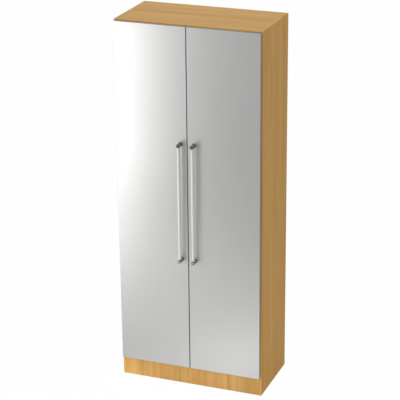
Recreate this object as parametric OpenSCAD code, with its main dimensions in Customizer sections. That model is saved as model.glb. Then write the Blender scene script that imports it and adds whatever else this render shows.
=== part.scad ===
// Two-door storage cabinet: board carcass on a full-width plinth, two overlay doors on
// concealed cup hinges, one long bar handle on each door.
// The origin is on the floor, at the middle of the width and of the overall depth.
// The doors face -Y.

/* [Carcass] */
// Width over the side panels
body_w = 800; // [600:10:1000]
// Depth of the carcass without the doors
body_d = 400; // [350:10:600]
// Height from the floor to the top surface
body_h = 2004; // [1900:1:2100]
// Thickness of the carcass boards
board_t = 19; // [18:1:22]
// Height of the plinth boards
plinth_h = 104; // [80:1:120]
// How far the plinth board stands back from the carcass front
plinth_recess = 1; // [1:1:20]
// Thickness of the back panel
back_t = 8; // [6:1:8]
// How far the back panel sits in from the rear edges
back_inset = 10; // [8:1:14]
// Thickness of the edge bands
band_t = 2; // [1:0.5:2]

/* [Shelves] */
// Thickness of the shelves
shelf_t = 22; // [19:1:25]
// How far the shelves stand back from the carcass front
shelf_recess = 24; // [20:1:40]
// Free play of an adjustable shelf at each end
shelf_play = 1; // [0.5:0.5:2]
// Shelf pin positions in each group of holes
pin_holes = 5; // [3:2:7]

/* [Doors] */
// Thickness of the doors
door_t = 19; // [18:1:22]
// Gap between the carcass front and the doors
door_gap = 2; // [1.5:0.5:3]
// How far the doors stand in from the outer sides
door_side_inset = 5; // [3:1:6]
// How far the doors stand below the top surface
door_top_inset = 5; // [3:1:8]
// Gap between the doors
centre_gap = 4; // [3:1:5]
// Hinges on each door
hinge_count = 4; // [3:1:5]

/* [Handles] */
// Distance between the two posts of a handle
handle_span = 640; // [320:32:800]
// Height of the lower posts above the floor
handle_z = 740; // [600:10:900]
// Distance of the posts from the middle of the cabinet
handle_x = 37.5; // [30:0.5:60]
// Distance of the bar's axis from the door face
handle_reach = 27.5; // [26:0.5:40]
// Diameter of the bar
bar_d = 16; // [10:1:16]
// Diameter of the posts
post_d = 22; // [18:1:24]

/* [Hidden] */
$fn = 48;
eps = 0.01;
fit = 0.05;

front_reach = door_gap + door_t + handle_reach + post_d / 2;
front_y = -(body_d - front_reach) / 2;
back_y = front_y + body_d;
inner_x = body_w / 2 - board_t;
inner_w = 2 * inner_x;

bottom_z = plinth_h;
floor_z = bottom_z + board_t;
ceiling_z = body_h - board_t;
back_face_y = back_y - back_inset - back_t;
// Depth of the groove that holds the back panel
groove = 7;

// Shelves counted from the lowest; the one at fixed_index is fixed, the others rest on pins
shelf_count = 4;
fixed_index = 2;
bay_h = (ceiling_z - floor_z - shelf_count * shelf_t) / (shelf_count + 1);
function shelf_z(i) = floor_z + (i + 1) * bay_h + i * shelf_t;
shelf_y = front_y + shelf_recess;
shelf_d = back_face_y - 1 - shelf_y;

door_y = front_y - door_gap;
door_face_y = door_y - door_t;
door_z0 = plinth_h + 3;
door_z1 = body_h - door_top_inset;
door_h = door_z1 - door_z0;
door_x1 = body_w / 2 - door_side_inset;
door_x0 = centre_gap / 2;
door_band = 1;

post_zs = [handle_z, handle_z + handle_span];
bar_y = door_face_y - handle_reach;
bar_socket = 5;
post_foot = 1;
post_foot_t = 1.5;
handle_screw_d = 4;
handle_screw_in = 10;
handle_screw_head_d = 8;
handle_screw_head_t = 2.6;

// Pins of the adjustable shelves, in groups of holes 32 mm apart
pin_d = 5;
pin_depth = 10;
pin_head_d = 8;
pin_head_l = 8;
pin_step = 32;
pin_rows = [shelf_y + 35, back_face_y - 60];
groups = [0, 1, 3];
function pin_z(g) = shelf_z(g) - pin_head_d / 2;

// Cams, bolts and dowels between the boards; each board's underside is in board_bottoms
cam_d = 15;
cam_depth = 12.5;
cam_x = 34;
cam_slot = [6, 1.2, 4];
bolt_d = 7;
bolt_play = 0.4;
bolt_thread_d = 5;
bolt_thread = 11;
dowel_d = 8;
dowel_l = 34;
dowel_x = inner_x + bolt_thread - dowel_l;
joint_rows = [front_y + 60, back_face_y - 50];
dowel_rows = [front_y + 92, back_face_y - 82];
shelf_row_shift = 20;
board_bottoms = [bottom_z, ceiling_z, shelf_z(fixed_index)];
plinth_ys = [front_y + plinth_recess + board_t / 2, back_face_y - board_t / 2];
plinth_dowel_zs = [plinth_h / 4, plinth_h * 3 / 4];
function bolt_z(z) = z + board_t / 2;
function is_shelf(z) = z > floor_z && z < ceiling_z;
function rows_of(z) = [joint_rows[0] + (is_shelf(z) ? shelf_row_shift : 0), joint_rows[1]];
function dowels_of(z) = [dowel_rows[0] + (is_shelf(z) ? shelf_row_shift : 0), dowel_rows[1]];

hinge_margin = 100;
function hinge_z(i) = door_z0 + hinge_margin + i * (door_h - 2 * hinge_margin) / (hinge_count - 1);

cup_edge = 5;
cup_d = 35;
cup_depth = 12;
cup_wall = 1.2;
flange_t = 1.2;
// Hinge frame: x runs inward from the side panel's inner face, y runs back from the carcass front.
// The door turns about axis_pt, its outer front corner. The crank from arm_pt to knee_pt is parallel
// and equal to the line from the axis to cup_pt, so the coupler keeps its direction as the door turns.
edge_x = door_side_inset - board_t;
cup_x = edge_x + cup_edge + cup_d / 2;
axis_pt = [edge_x, -door_gap - door_t];
arm_pt = [9, 4.5];
cup_pt = [12, -door_gap - 5];
knee_pt = arm_pt + cup_pt - axis_pt;
link_r = 3.5;
link_in = 5;
link_out = 7.4;
ear_in = 7.8;
ear_out = 9.3;
link_play = 0.4;
hinge_pin_d = 3;
pivot_play = 0.1;
open_play = 0.6;
plate_y = 37;
plate_screw_h = 16;
plate_screw_d = 6;
plate_screw_l = 11;
plate_head_d = 9;
plate_head_t = 2.4;
arm_r = 4;
arm_y1 = 68;
arm_screw_ys = [31, 50];
arm_screw_d = 5;
arm_head_x = 13;
arm_head_d = 7.5;
arm_head_t = 1.8;
arm_slot = [1.6, 5, 1.2];
cup_screw_x = cup_x + 9.5;
cup_screw_h = 22.5;
cup_screw_d = 3;
cup_screw_l = 9;
cup_head_d = 6.5;
cup_floor = 0.2;

buffer_d = 8;
buffer_t = door_gap - 0.3;

BOARD = "#c89e62";
EDGE = "#cda066";
DOOR = "#c4c5c4";
METAL = "#a9abad";
DARK = "#55565a";

// ---- helpers ----

// Right side as drawn, left side mirrored.
module on_side(s) {
    mirror([s < 0 ? 1 : 0, 0, 0]) children();
}

// A rod along +X from the origin.
module rod_x(d, l) {
    rotate([0, 90, 0]) cylinder(d = d, h = l);
}

// A rod along +Y from the origin.
module rod_y(d, l) {
    rotate([-90, 0, 0]) cylinder(d = d, h = l);
}

// A box given by its lowest and highest corners.
module box(lo, hi) {
    translate(lo) cube(hi - lo);
}

// A flat bar between two points, with round eyes a little wider than its shank.
module bar_2d(p, q, r) {
    d = q - p;
    shank = r - 0.4;
    translate(p) circle(r);
    translate(q) circle(r);
    translate(p) rotate(atan2(d.y, d.x)) translate([0, -shank]) square([norm(d), 2 * shank]);
}

// Everything at one hinge of side s, in the hinge frame.
module at_hinge(s, i) {
    on_side(s)
        translate([inner_x, front_y, hinge_z(i)])
            mirror([1, 0, 0]) children();
}

module at_hinges(s) {
    for (i = [0:hinge_count - 1])
        at_hinge(s, i) children();
}

// ---- joints between boards ----

// Bores in one board that lies between the side panels, its underside at z.
module board_bores(z) {
    for (s = [-1, 1]) {
        on_side(s) {
            for (y = rows_of(z)) {
                translate([inner_x - cam_x, y, z - eps])
                    cylinder(d = cam_d + 2 * fit, h = cam_depth + eps + fit);
                translate([inner_x - cam_x, y, bolt_z(z)])
                    rod_x(bolt_d + 2 * fit, cam_x + 1);
            }
            for (y = dowels_of(z))
                translate([dowel_x - fit, y, bolt_z(z)])
                    rod_x(dowel_d + 2 * fit, dowel_l);
        }
    }
}

// Bores in the right side panel for the boards' bolts and dowels.
module side_joint_bores() {
    for (z = board_bottoms) {
        for (y = rows_of(z))
            translate([inner_x - eps, y, bolt_z(z)])
                rod_x(bolt_thread_d + 2 * fit, bolt_thread + fit);
        for (y = dowels_of(z))
            translate([inner_x - eps, y, bolt_z(z)])
                rod_x(dowel_d + 2 * fit, bolt_thread + fit);
    }
    for (y = plinth_ys)
        for (z = plinth_dowel_zs)
            translate([inner_x - eps, y, z])
                rod_x(dowel_d + 2 * fit, bolt_thread + fit);
}

// Groups of holes for the pins of the adjustable shelves.
module pin_bores() {
    for (g = groups)
        for (k = [-(pin_holes - 1) / 2:(pin_holes - 1) / 2])
            for (y = pin_rows)
                translate([inner_x - eps, y, pin_z(g) + k * pin_step])
                    rod_x(pin_d + 2 * fit, pin_depth + 1);
}

// ---- carcass boards ----

module side_panel(s) {
    color(BOARD) on_side(s)
        difference() {
            box([inner_x, front_y + band_t, 0], [body_w / 2, back_y, body_h]);
            box([inner_x - eps, back_face_y, bottom_z],
                [inner_x + groove, back_face_y + back_t, ceiling_z + groove]);
            side_joint_bores();
            pin_bores();
            for (i = [0:hinge_count - 1])
                for (h = [-plate_screw_h, plate_screw_h])
                    translate([inner_x - eps, front_y + plate_y, hinge_z(i) + h])
                            rod_x(plate_screw_d + 2 * fit, plate_screw_l + 1);
        }
}

module top_panel() {
    color(BOARD)
        difference() {
            box([-inner_x, front_y + band_t, ceiling_z], [inner_x, back_y, body_h]);
            box([-inner_x - eps, back_face_y, ceiling_z - eps],
                [inner_x + eps, back_face_y + back_t, ceiling_z + groove]);
            board_bores(ceiling_z);
        }
}

module bottom_panel() {
    color(BOARD)
        difference() {
            box([-inner_x, front_y + band_t, bottom_z], [inner_x, back_face_y, floor_z]);
            board_bores(bottom_z);
        }
}

module back_panel() {
    color("#cfa46a")
        box([-inner_x - groove, back_face_y, bottom_z],
            [inner_x + groove, back_face_y + back_t, ceiling_z + groove]);
}

module plinth_board(y) {
    color(BOARD)
        difference() {
            translate([-inner_x, y - board_t / 2, 0]) cube([inner_w, board_t, plinth_h]);
            for (s = [-1, 1])
                on_side(s)
                    for (z = plinth_dowel_zs)
                        translate([dowel_x - fit, y, z])
                            rod_x(dowel_d + 2 * fit, dowel_l);
        }
}

module fixed_shelf() {
    z = shelf_z(fixed_index);
    color(BOARD)
        difference() {
            box([-inner_x, shelf_y + band_t, z], [inner_x, back_face_y, z + shelf_t]);
            board_bores(z);
        }
}

module adjustable_shelf(i) {
    w = inner_x - shelf_play;
    color(BOARD)
        translate([-w, shelf_y + band_t, shelf_z(i)])
            cube([2 * w, shelf_d - band_t, shelf_t]);
}

// ---- bands, pins and board fittings ----

module side_front_bands() {
    color(EDGE)
        for (s = [-1, 1])
            on_side(s) box([inner_x, front_y, 0], [body_w / 2, front_y + band_t, body_h]);
}

module board_front_bands() {
    color(EDGE)
        for (z = [bottom_z, ceiling_z])
            translate([-inner_x, front_y, z]) cube([inner_w, band_t, board_t]);
}

module shelf_front_bands() {
    color(EDGE)
        for (i = [0:shelf_count - 1]) {
            w = i == fixed_index ? inner_x : inner_x - shelf_play;
            translate([-w, shelf_y, shelf_z(i)]) cube([2 * w, band_t, shelf_t]);
        }
}

module shelf_pins() {
    color(METAL)
        for (s = [-1, 1])
            on_side(s)
                for (g = groups)
                    for (y = pin_rows) {
                        translate([inner_x - 0.5, y, pin_z(g)]) rod_x(pin_d, pin_depth);
                        translate([inner_x - pin_head_l, y, pin_z(g)]) rod_x(pin_head_d, pin_head_l);
                    }
}

module cam_housings() {
    color(METAL)
        for (s = [-1, 1])
            on_side(s)
                for (z = board_bottoms)
                    for (y = rows_of(z))
                        difference() {
                            translate([inner_x - cam_x, y, z]) cylinder(d = cam_d, h = cam_depth);
                            translate([inner_x - cam_x - 2, y, bolt_z(z)]) rod_x(bolt_d + 1, cam_d);
                            for (a = [0, 90])
                                translate([inner_x - cam_x, y, z]) rotate(a) cube(cam_slot, center = true);
                        }
}

module cam_bolts() {
    color(METAL)
        for (s = [-1, 1])
            on_side(s)
                for (z = board_bottoms)
                    for (y = rows_of(z)) {
                        translate([inner_x - cam_x, y, bolt_z(z)]) rod_x(bolt_d - bolt_play, cam_x);
                        translate([inner_x - 1, y, bolt_z(z)]) rod_x(bolt_thread_d, bolt_thread + 1);
                    }
}

module dowels() {
    color("#d9bd8c")
        for (s = [-1, 1])
            on_side(s) {
                for (z = board_bottoms)
                    for (y = dowels_of(z))
                        translate([dowel_x, y, bolt_z(z)]) rod_x(dowel_d, dowel_l);
                for (y = plinth_ys)
                    for (z = plinth_dowel_zs)
                        translate([dowel_x, y, z]) rod_x(dowel_d, dowel_l);
            }
}

// ---- doors ----

module door_panel(s) {
    color(DOOR)
        difference() {
            on_side(s)
                box([door_x0 + door_band, door_face_y, door_z0 + door_band],
                    [door_x1 - door_band, door_y, door_z1 - door_band]);
            at_hinges(s) {
                translate([cup_x, -door_gap - cup_depth, 0]) rod_y(cup_d + 2 * fit, cup_depth + 1);
                for (h = [-cup_screw_h, cup_screw_h])
                    translate([cup_screw_x, -door_gap - cup_screw_l - 1, h])
                        rod_y(cup_screw_d + 2 * fit, cup_screw_l + 2);
            }
            on_side(s)
                for (z = post_zs)
                    translate([handle_x, door_face_y - 1, z]) rod_y(handle_screw_d + 1, door_t + 2);
        }
}

module door_edge_bands(s) {
    color(DOOR)
        on_side(s) {
            for (x = [door_x0, door_x1 - door_band])
                translate([x, door_face_y, door_z0]) cube([door_band, door_t, door_h]);
            for (z = [door_z0, door_z1 - door_band])
                translate([door_x0 + door_band, door_face_y, z])
                    cube([door_x1 - door_x0 - 2 * door_band, door_t, door_band]);
        }
}

module door_buffers(s) {
    color("#d8d8d4")
        on_side(s)
            for (z = [bottom_z + board_t * 0.6, ceiling_z + board_t / 2 - 1])
                translate([door_x0 + 14, door_y, z]) rod_y(buffer_d, buffer_t);
}

// ---- handles ----

module handle_bar(s) {
    color("#dcdcd6")
        on_side(s)
            translate([handle_x, bar_y, handle_z + post_d / 2 - bar_socket])
                cylinder(d = bar_d, h = handle_span - post_d + 2 * bar_socket);
}

// Round post with a wider foot and a rounded nose, its socket facing the bar.
module handle_post(up) {
    r = post_d / 2;
    l = handle_reach + r;
    nose = r * 0.4;
    difference() {
        rotate([90, 0, 0])
            rotate_extrude()
                union() {
                    square([r, l - nose]);
                    square([r + post_foot, post_foot_t]);
                    square([r - nose, l]);
                    translate([r - nose, l - nose])
                        intersection() {
                            circle(nose);
                            square(nose);
                        }
                }
        translate([0, -handle_reach, up ? r - bar_socket - fit : -r - 2])
            cylinder(d = bar_d + 2 * fit, h = bar_socket + fit + 2);
        rotate([90, 0, 0]) translate([0, 0, -1])
            cylinder(d = handle_screw_d + 2 * fit, h = handle_screw_in + 3);
    }
}

module handle_posts(s) {
    color(DARK)
        on_side(s) {
            translate([handle_x, door_face_y, post_zs[0]]) handle_post(true);
            translate([handle_x, door_face_y, post_zs[1]]) handle_post(false);
        }
}

module handle_screws(s) {
    color(METAL)
        on_side(s)
            for (z = post_zs) {
                translate([handle_x, door_face_y - handle_screw_in, z])
                    rod_y(handle_screw_d, door_t + handle_screw_in + 1);
                translate([handle_x, door_y, z]) rod_y(handle_screw_head_d, handle_screw_head_t);
            }
}

// ---- concealed hinges ----

module mounting_plates(s) {
    color(METAL)
        at_hinges(s)
            difference() {
                union() {
                    box([0, 30, -25], [2, 44, 25]);
                    box([0, 26, -6.5], [7, 66, 6.5]);
                }
                for (h = [-plate_screw_h, plate_screw_h])
                    translate([-1, plate_y, h]) rod_x(plate_head_d + 2 * fit, plate_head_t + 1.6);
            }
}

module plate_screws(s) {
    color(METAL)
        at_hinges(s)
            for (h = [-plate_screw_h, plate_screw_h])
                translate([0, plate_y, h]) {
                    rod_x(plate_head_d, plate_head_t);
                    translate([-plate_screw_l, 0, 0]) rod_x(plate_screw_d, plate_screw_l + 1);
                }
}

module hinge_arms(s) {
    color(METAL)
        at_hinges(s)
            difference() {
                union() {
                    for (h = [-ear_out, ear_in])
                        translate([0, 0, h])
                            linear_extrude(ear_out - ear_in)
                                union() {
                                    translate(arm_pt) circle(arm_r);
                                    translate([arm_pt.x - arm_r, arm_pt.y])
                                        square([2 * arm_r, 24 - arm_pt.y]);
                                    translate([2.2, 22]) square([arm_pt.x + 1.8, arm_y1 - 22]);
                                }
                    box([arm_pt.x + 2.4, 26, -ear_out], [arm_pt.x + arm_r, arm_y1, ear_out]);
                }
                translate([arm_pt.x, arm_pt.y, -20]) cylinder(d = hinge_pin_d + 2 * fit, h = 40);
                for (y = arm_screw_ys)
                    translate([arm_pt.x, y, 0]) rod_x(arm_screw_d + 2 * fit, 10);
            }
}

module arm_screws(s) {
    color(METAL)
        at_hinges(s)
            for (y = arm_screw_ys)
                difference() {
                    union() {
                        translate([arm_head_x - 6, y, 0]) rod_x(arm_screw_d, 6.5);
                        translate([arm_head_x, y, 0]) rod_x(arm_head_d, arm_head_t);
                    }
                    for (a = [0, 90])
                        translate([arm_head_x + arm_slot.x, y, 0])
                            rotate([a, 0, 0]) cube(arm_slot, center = true);
                }
}

module arm_pins(s) {
    color(METAL)
        at_hinges(s)
            translate([arm_pt.x, arm_pt.y, -ear_out - 0.6])
                cylinder(d = hinge_pin_d, h = 2 * ear_out + 1.2);
}

module hinge_cranks(s) {
    color(METAL)
        at_hinges(s)
            for (h = [-link_out, link_in + link_play])
                translate([0, 0, h])
                    linear_extrude(link_out - link_in - link_play)
                        difference() {
                            bar_2d(arm_pt, knee_pt, link_r);
                            translate(arm_pt) circle(d = hinge_pin_d + pivot_play);
                            translate(knee_pt) circle(d = hinge_pin_d);
                        }
}

module knee_pins(s) {
    color(METAL)
        at_hinges(s)
            translate([knee_pt.x, knee_pt.y, -link_out])
                cylinder(d = hinge_pin_d, h = 2 * link_out);
}

module hinge_couplers(s) {
    color(METAL)
        at_hinges(s)
            translate([0, 0, -link_in])
                linear_extrude(2 * link_in)
                    difference() {
                        bar_2d(knee_pt, cup_pt, link_r);
                        translate(knee_pt) circle(d = hinge_pin_d + pivot_play);
                        translate(cup_pt) circle(d = hinge_pin_d + open_play);
                    }
}

module hinge_cups(s) {
    r_in = cup_d / 2 - cup_wall;
    color(METAL)
        at_hinges(s)
            difference() {
                union() {
                    difference() {
                        union() {
                            translate([cup_x, -door_gap - cup_depth + cup_floor, 0])
                                rod_y(cup_d, cup_depth - cup_floor);
                            translate([cup_x, -door_gap, 0]) rod_y(cup_d + 3.5, flange_t);
                            box([cup_x + 4, -door_gap, -28], [cup_x + 15.5, -door_gap + flange_t, 28]);
                        }
                        translate([cup_x, -door_gap - cup_depth + cup_floor + cup_wall, 0])
                            rod_y(2 * r_in, cup_depth + 4);
                    }
                    for (h = [-link_out, link_in + link_play])
                        translate([0, 0, h])
                            linear_extrude(link_out - link_in - link_play)
                                union() {
                                    translate(cup_pt) circle(link_r);
                                    translate([cup_pt.x - link_r, -door_gap - cup_depth + 0.5])
                                        square([2 * link_r, cup_pt.y + door_gap + cup_depth - 0.5]);
                                }
                }
                translate([cup_pt.x, cup_pt.y, -20]) cylinder(d = hinge_pin_d, h = 40);
                for (h = [-cup_screw_h, cup_screw_h])
                    translate([cup_screw_x, -door_gap - 1, h]) rod_y(cup_head_d + 2 * fit, flange_t + 2);
            }
}

module cup_pins(s) {
    color(METAL)
        at_hinges(s)
            translate([cup_pt.x, cup_pt.y, -link_out])
                cylinder(d = hinge_pin_d, h = 2 * link_out);
}

module cup_screws(s) {
    color(METAL)
        at_hinges(s)
            for (h = [-cup_screw_h, cup_screw_h]) {
                translate([cup_screw_x, -door_gap, h]) rod_y(cup_head_d, flange_t);
                translate([cup_screw_x, -door_gap - cup_screw_l, h]) rod_y(cup_screw_d, cup_screw_l + 0.5);
            }
}

// ---- nodes ----

side_panel(-1);  // left_side_panel
side_panel(1);  // right_side_panel
top_panel();
bottom_panel();
back_panel();
plinth_board(plinth_ys[0]);  // plinth_front_board
plinth_board(plinth_ys[1]);  // plinth_rear_board
fixed_shelf();
adjustable_shelf(groups[0]);  // adjustable_shelf_1
adjustable_shelf(groups[1]);  // adjustable_shelf_2
adjustable_shelf(groups[2]);  // adjustable_shelf_3
side_front_bands();
board_front_bands();
shelf_front_bands();
shelf_pins();
cam_housings();
cam_bolts();
dowels();
door_panel(-1);  // left_door_panel
door_panel(1);  // right_door_panel
door_edge_bands(-1);  // left_door_edge_bands
door_edge_bands(1);  // right_door_edge_bands
handle_bar(-1);  // left_handle_bar
handle_bar(1);  // right_handle_bar
handle_posts(-1);  // left_handle_posts
handle_posts(1);  // right_handle_posts
handle_screws(-1);  // left_handle_screws
handle_screws(1);  // right_handle_screws
door_buffers(-1);  // left_door_buffers
door_buffers(1);  // right_door_buffers
mounting_plates(-1);  // left_mounting_plates
mounting_plates(1);  // right_mounting_plates
plate_screws(-1);  // left_plate_screws
plate_screws(1);  // right_plate_screws
hinge_arms(-1);  // left_hinge_arms
hinge_arms(1);  // right_hinge_arms
arm_screws(-1);  // left_arm_screws
arm_screws(1);  // right_arm_screws
arm_pins(-1);  // left_arm_pins
arm_pins(1);  // right_arm_pins
hinge_cranks(-1);  // left_hinge_cranks
hinge_cranks(1);  // right_hinge_cranks
knee_pins(-1);  // left_knee_pins
knee_pins(1);  // right_knee_pins
hinge_couplers(-1);  // left_hinge_couplers
hinge_couplers(1);  // right_hinge_couplers
hinge_cups(-1);  // left_hinge_cups
hinge_cups(1);  // right_hinge_cups
cup_pins(-1);  // left_cup_pins
cup_pins(1);  // right_cup_pins
cup_screws(-1);  // left_cup_screws
cup_screws(1);  // right_cup_screws
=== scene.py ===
"""Studio picture of a two-door storage cabinet with a beech-look body and silver doors.

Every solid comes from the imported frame. This script gives each one its finish, softens the
edges that the light catches, and sets up the floor, the lights and the camera.
"""

import math

import bmesh
import bpy
from mathutils import Matrix, Vector


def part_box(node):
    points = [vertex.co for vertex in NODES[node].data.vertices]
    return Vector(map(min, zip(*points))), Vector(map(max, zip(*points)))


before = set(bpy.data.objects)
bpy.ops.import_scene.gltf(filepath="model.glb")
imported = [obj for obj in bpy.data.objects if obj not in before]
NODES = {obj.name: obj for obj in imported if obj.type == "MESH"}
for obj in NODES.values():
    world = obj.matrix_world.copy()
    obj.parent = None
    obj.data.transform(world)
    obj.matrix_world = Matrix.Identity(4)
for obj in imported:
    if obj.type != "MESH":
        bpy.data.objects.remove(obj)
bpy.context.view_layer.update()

# Front face of the carcass, from which the lights, the camera and the floor are placed
FRONT_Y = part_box("side_front_bands")[0].y


# ---- colours, as linear values from the eight-bit colours a person reads ----

def linear(r, g, b):
    """Linear RGBA of an sRGB colour given as 0 to 255."""
    def one(v):
        v /= 255
        return v / 12.92 if v <= 0.04045 else ((v + 0.055) / 1.055) ** 2.4
    return (one(r), one(g), one(b), 1.0)


# ---- node helpers ----

class Shader:
    """A material under construction, with short calls for the nodes used here."""

    def __init__(self, name, roughness=0.5, metallic=0.0, colour=(0.8, 0.8, 0.8, 1.0)):
        self.material = bpy.data.materials.new(name)
        self.material.use_nodes = True
        self.tree = self.material.node_tree
        self.surface = self.tree.nodes["Principled BSDF"]
        self.surface.inputs["Roughness"].default_value = roughness
        self.surface.inputs["Metallic"].default_value = metallic
        self.surface.inputs["Base Color"].default_value = colour
        self.place = self.tree.nodes.new("ShaderNodeTexCoord").outputs["Object"]

    def join(self, a, b):
        self.tree.links.new(a, b)

    def stretched(self, scale):
        """Object coordinates, scaled per axis, so that a noise gets its real size."""
        node = self.tree.nodes.new("ShaderNodeMapping")
        node.inputs["Scale"].default_value = scale
        self.join(self.place, node.inputs["Vector"])
        return node.outputs["Vector"]

    def noise(self, vector, detail, rough=0.55, distortion=0.0):
        """A noise whose scale is already in the vector."""
        node = self.tree.nodes.new("ShaderNodeTexNoise")
        node.inputs["Scale"].default_value = 1.0
        node.inputs["Detail"].default_value = detail
        node.inputs["Roughness"].default_value = rough
        node.inputs["Distortion"].default_value = distortion
        self.join(vector, node.inputs["Vector"])
        return node.outputs["Fac"]

    def ramp(self, fac, stops):
        """stops is a list of (position, colour)."""
        node = self.tree.nodes.new("ShaderNodeValToRGB")
        ramp = node.color_ramp
        while len(ramp.elements) < len(stops):
            ramp.elements.new(0.5)
        for element, (position, colour) in zip(ramp.elements, stops):
            element.position = position
            element.color = colour
        self.join(fac, node.inputs["Fac"])
        return node.outputs["Color"]

    def mix(self, fac, a, b):
        """Blends colours a and b; each argument is a value or another node's output."""
        node = self.tree.nodes.new("ShaderNodeMix")
        node.data_type = "RGBA"
        for key, value in (("Factor", fac), ("A", a), ("B", b)):
            socket = node.inputs[key]
            if isinstance(value, (int, float, tuple)):
                socket.default_value = value
            else:
                self.join(value, socket)
        return node.outputs["Result"]

    def span(self, fac, low, high):
        """Maps 0..1 to low..high."""
        node = self.tree.nodes.new("ShaderNodeMapRange")
        node.inputs["To Min"].default_value = low
        node.inputs["To Max"].default_value = high
        self.join(fac, node.inputs["Value"])
        return node.outputs["Result"]

    def bump(self, height, depth, strength, below=None):
        """Relief of the given depth in metres, laid over the one below it."""
        node = self.tree.nodes.new("ShaderNodeBump")
        node.inputs["Distance"].default_value = depth
        node.inputs["Strength"].default_value = strength
        self.join(height, node.inputs["Height"])
        if below is not None:
            self.join(below, node.inputs["Normal"])
        return node.outputs["Normal"]

    def pool(self, x, y, radius, strength):
        """Falls smoothly from strength at a point on the floor to nothing at the radius."""
        gap = self.tree.nodes.new("ShaderNodeVectorMath")
        gap.operation = "DISTANCE"
        gap.inputs[1].default_value = (x, y + FRONT_Y, 0.0)
        self.join(self.place, gap.inputs[0])
        fade = self.tree.nodes.new("ShaderNodeMapRange")
        fade.interpolation_type = "SMOOTHSTEP"
        fade.inputs["From Max"].default_value = radius
        fade.inputs["To Min"].default_value = strength
        fade.inputs["To Max"].default_value = 0.0
        self.join(gap.outputs["Value"], fade.inputs["Value"])
        return fade.outputs["Result"]

    def total(self, values):
        """Adds up the given outputs."""
        result, *others = values
        for value in others:
            node = self.tree.nodes.new("ShaderNodeMath")
            self.join(result, node.inputs[0])
            self.join(value, node.inputs[1])
            result = node.outputs["Value"]
        return result

    def colour(self, value):
        self.join(value, self.surface.inputs["Base Color"])

    def roughness(self, value):
        self.join(value, self.surface.inputs["Roughness"])

    def normal(self, value):
        self.join(value, self.surface.inputs["Normal"])


AXES = {"x": 0, "y": 1, "z": 2}


def along(axis, lengthwise, across):
    """A scale that stretches a pattern along one axis."""
    scale = [across] * 3
    scale[AXES[axis]] = lengthwise
    return tuple(scale)


# ---- materials ----

BEECH_LIGHT = (220, 173, 94)
BEECH_MID = (212, 163, 84)
BEECH_DARK = (199, 149, 72)
BEECH_STREAK = (184, 130, 58)
BEECH_FLECK = (154, 103, 47)
BEECH_SPECULAR = 0.18
# Repeats per metre of each pattern, along and across the grain
BEECH_BANDS_ALONG = 0.5
BEECH_STREAKS = (2.5, 110.0)
BEECH_FLECKS = (150.0, 900.0)
# Depth of the relief in metres
BEECH_STREAK_DEPTH = 0.00005
BEECH_FLECK_DEPTH = 0.00006
BLACK = (0, 0, 0, 1)
WHITE = (1, 1, 1, 1)


def beech(name, grain, tone=(1.0, 1.0, 1.0), roughness=0.45, bands_across=9.0):
    """Beech decor melamine: soft bands, long fine streaks and short flecks along the grain."""
    def shade(colour):
        return linear(*(min(255, v * t) for v, t in zip(colour, tone)))

    s = Shader(name, roughness=roughness)
    s.surface.inputs["Specular IOR Level"].default_value = BEECH_SPECULAR
    bands = s.noise(s.stretched(along(grain, BEECH_BANDS_ALONG, bands_across)), detail=4.0, distortion=0.8)
    tones = [(0.34, shade(BEECH_DARK)), (0.50, shade(BEECH_MID)), (0.66, shade(BEECH_LIGHT))]
    base = s.ramp(bands, tones)
    streaks = s.noise(s.stretched(along(grain, *BEECH_STREAKS)), detail=4.0, rough=0.7)
    streak_mask = s.ramp(streaks, [(0.42, BLACK), (0.75, WHITE)])
    base = s.mix(streak_mask, base, s.mix(0.55, base, shade(BEECH_STREAK)))
    flecks = s.noise(s.stretched(along(grain, *BEECH_FLECKS)), detail=2.0)
    fleck_mask = s.ramp(flecks, [(0.60, BLACK), (0.70, WHITE)])
    base = s.mix(fleck_mask, base, s.mix(0.25, base, shade(BEECH_FLECK)))
    s.colour(base)
    s.roughness(s.span(streaks, roughness - 0.05, roughness + 0.07))
    relief = s.bump(streaks, BEECH_STREAK_DEPTH, 0.5)
    s.normal(s.bump(flecks, BEECH_FLECK_DEPTH, 0.5, relief))
    return s.material


DOOR_METALLIC = 0.9
DOOR_ROUGHNESS = 0.37
LAMINATE_BRUSH = (6.0, 1400.0)
LAMINATE_VEIL = (0.6, 14.0)
LAMINATE_DEPTH = 0.00004


def silver_laminate(name, metallic, roughness):
    """Silver door laminate: metallic flake under a fine vertical brush."""
    s = Shader(name, roughness=roughness, metallic=metallic)
    brush = s.noise(s.stretched(along("z", *LAMINATE_BRUSH)), detail=3.0, rough=0.6)
    veil = s.noise(s.stretched(along("z", *LAMINATE_VEIL)), detail=2.0)
    base = s.ramp(brush, [(0.25, linear(201, 201, 200)), (0.75, linear(208, 208, 207))])
    s.colour(s.mix(s.span(veil, 0.0, 0.08), base, linear(190, 190, 189)))
    s.roughness(s.span(brush, roughness - 0.03, roughness + 0.05))
    s.normal(s.bump(brush, LAMINATE_DEPTH, 0.35))
    return s.material


METAL_LINES = (12.0, 1600.0)
SMUDGE_SCALE = 35.0
CAST_SCALE = 900.0
CAST_DEPTH = 0.0001
PLASTIC_SCALE = 1500.0
PLASTIC_DEPTH = 0.00008


def darker(colour, share):
    """The colour at the given share of its brightness."""
    return tuple(c * share for c in colour[:3]) + (1.0,)


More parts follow.
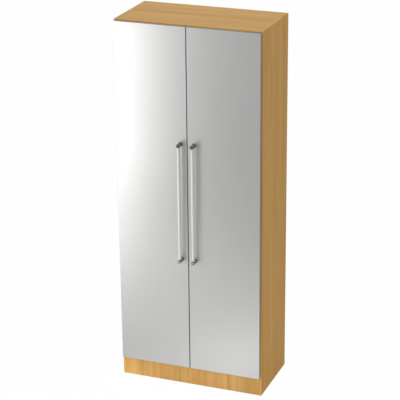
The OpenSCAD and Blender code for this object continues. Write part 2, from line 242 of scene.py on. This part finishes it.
def brushed_metal(name, colour, grain, roughness, spread=0.07, depth=0.00003, metallic=1.0):
    """Metal with fine lines along one axis and slight wear in its gloss."""
    s = Shader(name, roughness=roughness, metallic=metallic)
    lines = s.noise(s.stretched(along(grain, *METAL_LINES)), detail=3.0, rough=0.65)
    smudge = s.noise(s.stretched((SMUDGE_SCALE,) * 3), detail=2.0)
    bright = tuple(min(1.0, c * 1.06) for c in colour[:3]) + (1.0,)
    brushed = s.ramp(lines, [(0.3, darker(colour, 0.90)), (0.7, bright)])
    s.colour(s.mix(s.span(smudge, 0.0, 0.3), brushed, colour))
    s.roughness(s.span(lines, roughness - spread, roughness + spread))
    s.normal(s.bump(lines, depth, 0.5))
    return s.material


def cast_metal(name, colour, roughness):
    """Die-cast zinc: fine pebbled skin."""
    s = Shader(name, roughness=roughness, metallic=1.0)
    grain = s.noise(s.stretched((CAST_SCALE,) * 3), detail=2.0)
    s.colour(s.ramp(grain, [(0.3, darker(colour, 0.85)), (0.7, colour)]))
    s.roughness(s.span(grain, roughness - 0.06, roughness + 0.1))
    s.normal(s.bump(grain, CAST_DEPTH, 0.4))
    return s.material


def soft_plastic(name, colour):
    """Matt plastic with a fine moulded grain."""
    s = Shader(name, roughness=0.6)
    grain = s.noise(s.stretched((PLASTIC_SCALE,) * 3), detail=2.0)
    s.colour(s.ramp(grain, [(0.3, darker(colour, 0.92)), (0.7, colour)]))
    s.roughness(s.span(grain, 0.5, 0.7))
    s.normal(s.bump(grain, PLASTIC_DEPTH, 0.4))
    return s.material


UPRIGHT = beech("beech_upright", "z")
LEVEL = beech("beech_level", "x")
PLINTH = beech("beech_plinth", "z", (1.01, 1.03, 1.18), bands_across=22.0)
# The front edge bands are a lighter copy of the beech: a painted highlight where the trimmed edges catch
# the light.
LIT_BAND_UPRIGHT = beech("beech_band_upright_painted_highlight", "z", (1.02, 1.04, 1.08), 0.38)
LIT_BAND_LEVEL = beech("beech_band_level_painted_highlight", "x", (1.02, 1.04, 1.08), 0.38)
BACK = beech("beech_back", "z", (1.02, 1.02, 1.02), 0.55)
DOWEL = beech("beech_dowel", "x", (1.03, 1.06, 1.12), 0.7)
SILVER = silver_laminate("silver_laminate", DOOR_METALLIC, DOOR_ROUGHNESS)
# The door edge bands are a darker silver than the door face: painted shade for the shaded door edges and
# the gaps beside them.
SHADED_DOOR_BAND = brushed_metal("silver_edge", linear(182, 180, 172), "z", 0.48, metallic=0.9)
ALUMINIUM = brushed_metal("satin_aluminium", linear(228, 228, 220), "z", 0.5, metallic=0.4)
DARK_CHROME = brushed_metal("dark_chrome", linear(128, 128, 124), "y", 0.16, 0.04, 0.00001)
NICKEL = brushed_metal("nickel_steel", linear(205, 204, 200), "z", 0.26, 0.05)
SCREW = brushed_metal("zinc_screw", linear(208, 209, 205), "x", 0.30, 0.06)
PIN = brushed_metal("steel_pin", linear(212, 212, 210), "z", 0.22, 0.05)
ZINC = cast_metal("die_cast_zinc", linear(196, 196, 192), 0.34)
BUFFER = soft_plastic("buffer_plastic", linear(222, 222, 216))

FINISHES = {
    "left_side_panel": UPRIGHT,
    "right_side_panel": UPRIGHT,
    "plinth_front_board": PLINTH,
    "plinth_rear_board": PLINTH,
    "top_panel": LEVEL,
    "bottom_panel": LEVEL,
    "fixed_shelf": LEVEL,
    "adjustable_shelf_1": LEVEL,
    "adjustable_shelf_2": LEVEL,
    "adjustable_shelf_3": LEVEL,
    "back_panel": BACK,
    "side_front_bands": LIT_BAND_UPRIGHT,
    "board_front_bands": LIT_BAND_LEVEL,
    "shelf_front_bands": LIT_BAND_LEVEL,
    "dowels": DOWEL,
    "shelf_pins": PIN,
    "cam_housings": ZINC,
    "cam_bolts": SCREW,
}
SIDED_FINISHES = {
    "door_panel": SILVER,
    "door_edge_bands": SHADED_DOOR_BAND,
    "handle_bar": ALUMINIUM,
    "handle_posts": DARK_CHROME,
    "handle_screws": SCREW,
    "door_buffers": BUFFER,
    "mounting_plates": NICKEL,
    "plate_screws": SCREW,
    "hinge_arms": NICKEL,
    "arm_screws": SCREW,
    "arm_pins": PIN,
    "hinge_cranks": NICKEL,
    "knee_pins": PIN,
    "hinge_couplers": NICKEL,
    "hinge_cups": NICKEL,
    "cup_pins": PIN,
    "cup_screws": SCREW,
}
for side in ("left", "right"):
    for piece, finish in SIDED_FINISHES.items():
        FINISHES[f"{side}_{piece}"] = finish


def finish_nodes():
    """Puts each node's material in all of its slots."""
    for name, node in NODES.items():
        node.data.materials.clear()
        node.data.materials.append(FINISHES[name])


# ---- softened edges ----

BAND_RADIUS = 0.0008
JOIN_DISTANCE = 0.00001
BANDS = ("side_front_bands", "board_front_bands", "shelf_front_bands",
         "left_door_edge_bands", "right_door_edge_bands")


def soften(name, radius):
    """Rounds the long edges of the glued-on bands, as a trimmed band has."""
    node = NODES[name]
    node.modifiers.new("join_faces", "WELD").merge_threshold = JOIN_DISTANCE
    bevel = node.modifiers.new("trimmed_edge", "BEVEL")
    bevel.width = radius
    bevel.segments = 2
    bevel.limit_method = "ANGLE"
    bevel.angle_limit = math.radians(60)


# ---- floor ----

def whiten(tree, lit, kind, share):
    """Lets the camera see plain white instead of the lit surface, by the given share."""
    white = tree.nodes.new(kind)
    white.inputs["Color"].default_value = (1.0, 1.0, 1.0, 1.0)
    white.inputs["Strength"].default_value = 1.0
    path = tree.nodes.new("ShaderNodeLightPath")
    part = tree.nodes.new("ShaderNodeMath")
    part.operation = "MULTIPLY"
    part.inputs[1].default_value = share
    blend = tree.nodes.new("ShaderNodeMixShader")
    output = next(node for node in tree.nodes if "Output" in node.bl_idname)
    tree.links.new(path.outputs["Is Camera Ray"], part.inputs[0])
    tree.links.new(part.outputs["Value"], blend.inputs["Fac"])
    tree.links.new(lit, blend.inputs[1])
    tree.links.new(white.outputs[0], blend.inputs[2])
    tree.links.new(blend.outputs["Shader"], output.inputs["Surface"])


FLOOR_HALF_SIZE = 40.0
FLOOR_DROP = 0.0005
FLOOR_GREY = (0.85, 0.85, 0.85, 1.0)
FLOOR_WHITE = 0.985
# Pools of painted light that the floor glows with, lighting the plinth and the door feet from below: x, y
# from the front's middle, radius, strength
FLOOR_LIGHT_POOLS = [
    (0.1, -0.35, 0.6, 0.34),
    (0.0, -0.8, 1.6, 0.17),
    (0.45, -0.7, 1.0, 0.36),
    (-0.35, -0.03, 0.22, 0.6),
]


def build_floor():
    """A large pale floor at the object's foot."""
    shape = bmesh.new()
    bmesh.ops.create_grid(shape, x_segments=8, y_segments=8, size=FLOOR_HALF_SIZE)
    mesh = bpy.data.meshes.new("studio_floor")
    shape.to_mesh(mesh)
    shape.free()
    floor = bpy.data.objects.new("studio_floor", mesh)
    bpy.context.scene.collection.objects.link(floor)
    s = Shader("studio_floor", roughness=0.9, colour=FLOOR_GREY)
    s.surface.inputs["Specular IOR Level"].default_value = 0.0
    s.surface.inputs["Emission Color"].default_value = (1.0, 1.0, 1.0, 1.0)
    # Painted light: the floor glows in these pools even though it is no lamp.
    glow = s.total([s.pool(*pool) for pool in FLOOR_LIGHT_POOLS])
    s.join(glow, s.surface.inputs["Emission Strength"])
    whiten(s.tree, s.surface.outputs["BSDF"], "ShaderNodeEmission", FLOOR_WHITE)
    mesh.materials.append(s.material)
    floor.location.z = -FLOOR_DROP


# ---- light ----

# Name, place relative to the front's middle at the floor, target, width, height, power in watts
LIGHTS = [
    ("key_foot_left", (-1.2, -1.0, 0.5), (-0.3, 0.0, 0.6), 0.8, 0.8, 4.5),
    ("key_near_left", (-0.8, -0.9, 1.3), (-0.3, 0.0, 1.2), 0.3, 1.0, 1.5),
    ("key_mid_left", (-1.0, -1.0, 1.6), (-0.3, 0.0, 1.5), 0.6, 1.4, 2.3),
    ("key_high_left", (-1.1, -1.3, 1.9), (-0.3, 0.0, 1.5), 0.6, 1.2, 2.2),
    ("top_soft", (0.0, 0.3, 3.6), (0.0, 0.3, 0.0), 1.6, 1.0, 10.4),
    ("foot_card", (-0.56, -1.46, 0.09), (0.0, -0.06, 0.74), 0.3, 0.12, 0.24),
]


def add_light(name, place, target, width, height, power):
    """A rectangular lamp that faces its target and that the camera does not see."""
    data = bpy.data.lights.new(name, "AREA")
    data.shape = "RECTANGLE"
    data.size = width
    data.size_y = height
    data.energy = power
    light = bpy.data.objects.new(name, data)
    bpy.context.scene.collection.objects.link(light)
    start = Vector(place) + Vector((0, FRONT_Y, 0))
    end = Vector(target) + Vector((0, FRONT_Y, 0))
    light.location = start
    light.visible_camera = False
    light.rotation_mode = "QUATERNION"
    light.rotation_quaternion = (end - start).to_track_quat("-Z", "Y")


WORLD_LEVEL = 1.18
WORLD_ZENITH = 0.36
# Height of a unit ray at which the fade to the zenith ends
ZENITH_FROM = 0.7


def build_world(level, zenith):
    """Even light round the horizon and below it, fading to the zenith."""
    world = bpy.data.worlds.new("studio")
    bpy.context.scene.world = world
    world.use_nodes = True
    tree = world.node_tree
    shade = tree.nodes["Background"]
    shade.inputs["Color"].default_value = (1.0, 1.0, 1.0, 1.0)
    way = tree.nodes.new("ShaderNodeSeparateXYZ")
    tree.links.new(tree.nodes.new("ShaderNodeTexCoord").outputs["Generated"], way.inputs["Vector"])
    fade = tree.nodes.new("ShaderNodeMapRange")
    fade.interpolation_type = "SMOOTHSTEP"
    fade.inputs["From Min"].default_value = 0.0
    fade.inputs["From Max"].default_value = ZENITH_FROM
    fade.inputs["To Min"].default_value = level
    fade.inputs["To Max"].default_value = zenith
    tree.links.new(way.outputs["Z"], fade.inputs["Value"])
    tree.links.new(fade.outputs["Result"], shade.inputs["Strength"])
    whiten(tree, shade.outputs["Background"], "ShaderNodeBackground", 1.0)


# ---- camera ----

# Place relative to the middle of the carcass front at the floor, and the way it faces.
CAMERA_PLACE = (2.8083, -7.066, 3.9894)
CAMERA_YAW = math.radians(-21.256)
CAMERA_PITCH = math.radians(-21.0)
CAMERA_ROLL = math.radians(-0.58)
CAMERA_LENS_MM = 141.1
CAMERA_SENSOR_MM = 36.0
CAMERA_REACH = 200.0


def build_camera():
    """A camera at the named place, turned by yaw, then pitch, then roll."""
    forward = Vector((
        math.cos(CAMERA_PITCH) * math.sin(CAMERA_YAW),
        math.cos(CAMERA_PITCH) * math.cos(CAMERA_YAW),
        math.sin(CAMERA_PITCH),
    ))
    level = Vector((math.cos(CAMERA_YAW), -math.sin(CAMERA_YAW), 0))
    upward = level.cross(forward)
    right = level * math.cos(CAMERA_ROLL) + upward * math.sin(CAMERA_ROLL)
    up = upward * math.cos(CAMERA_ROLL) - level * math.sin(CAMERA_ROLL)
    data = bpy.data.cameras.new("camera")
    data.lens = CAMERA_LENS_MM
    data.sensor_width = CAMERA_SENSOR_MM
    data.clip_end = CAMERA_REACH
    camera = bpy.data.objects.new("camera", data)
    bpy.context.scene.collection.objects.link(camera)
    turn = Matrix((right, up, -forward)).transposed()
    place = Vector(CAMERA_PLACE) + Vector((0, FRONT_Y, 0))
    camera.matrix_world = Matrix.Translation(place) @ turn.to_4x4()
    bpy.context.scene.camera = camera


# ---- the picture ----

finish_nodes()
for name in BANDS:
    soften(name, BAND_RADIUS)
build_floor()
build_world(WORLD_LEVEL, WORLD_ZENITH)
for light in LIGHTS:
    add_light(*light)
build_camera()
bpy.context.scene.view_settings.view_transform = "Standard"
